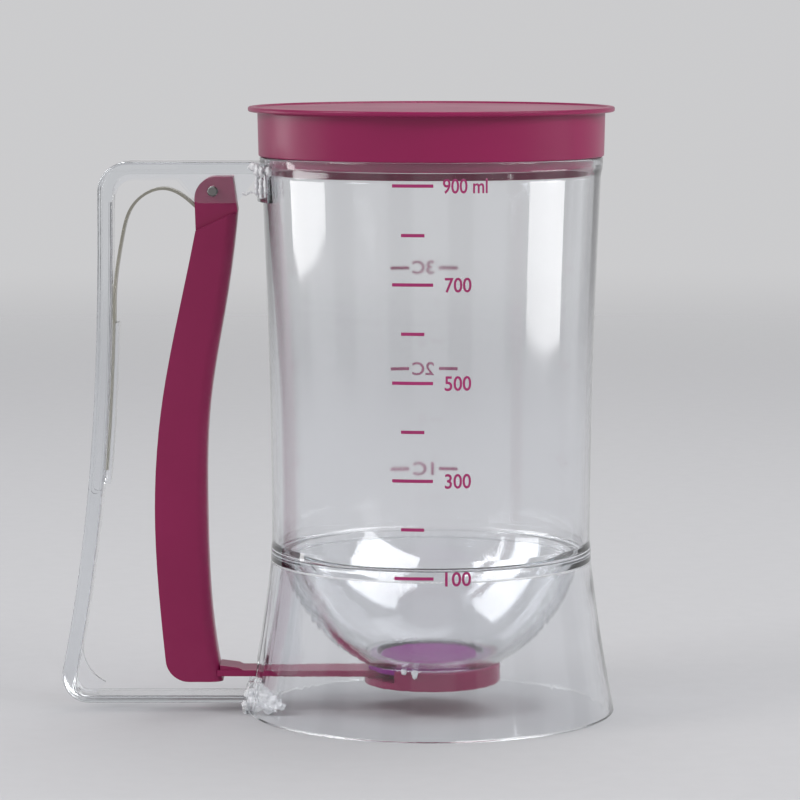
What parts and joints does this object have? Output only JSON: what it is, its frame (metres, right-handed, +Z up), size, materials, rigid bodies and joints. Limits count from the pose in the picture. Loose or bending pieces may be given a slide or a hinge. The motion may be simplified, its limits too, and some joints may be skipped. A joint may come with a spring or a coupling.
{
  "type": "batter dispenser",
  "caption": "Clear batter dispenser jug on a flared skirt, with a push-in lid and a squeeze lever in its handle that swings a round valve open under the outlet.",
  "frame": {"origin": "centre of the ring that the skirt stands on, on the jug's own axis", "axes": "+Z up along the jug's axis, -X towards the handle, -Y towards the wall with the printed volume scale"},
  "size_m": [0.1651, 0.1098, 0.1805],
  "materials": {
    "clear_plastic": "clear, glossy moulded plastic with a slightly cool tint at its edges",
    "burgundy_plastic": "opaque magenta-burgundy moulded plastic, satin gloss",
    "violet_seal": "soft violet silicone, matt",
    "steel_pin": "plain drawn steel",
    "spring_steel": "rolled stainless strip, bright"
  },
  "bodies": {
    "dispenser_body": {"jug": "clear_plastic", "bowl": "clear_plastic", "base_skirt": "clear_plastic", "handle_frame": "clear_plastic", "pivot_pin": "steel_pin", "return_spring": "spring_steel"},
    "squeeze_lever": {"lever": "burgundy_plastic", "valve_cup": "burgundy_plastic", "valve_seal": "violet_seal"},
    "lid_cap": {"lid": "burgundy_plastic"}
  },
  "joints": [
    {"name": "lever_squeeze", "type": "hinge", "parent": "dispenser_body", "child": "squeeze_lever", "pos_m": [-0.0645, 0, 0.1557], "axis": [0, 1, 0], "range_deg": [0, 6.4], "stiffness_Nm_per_rad": 2.5, "springref_deg": -4.58, "deforming": ["return_spring"]},
    {"name": "lid_lift", "type": "slide", "parent": "dispenser_body", "child": "lid_cap", "axis": [0, 0, 1], "range_m": [0, 0.03]}
  ]
}
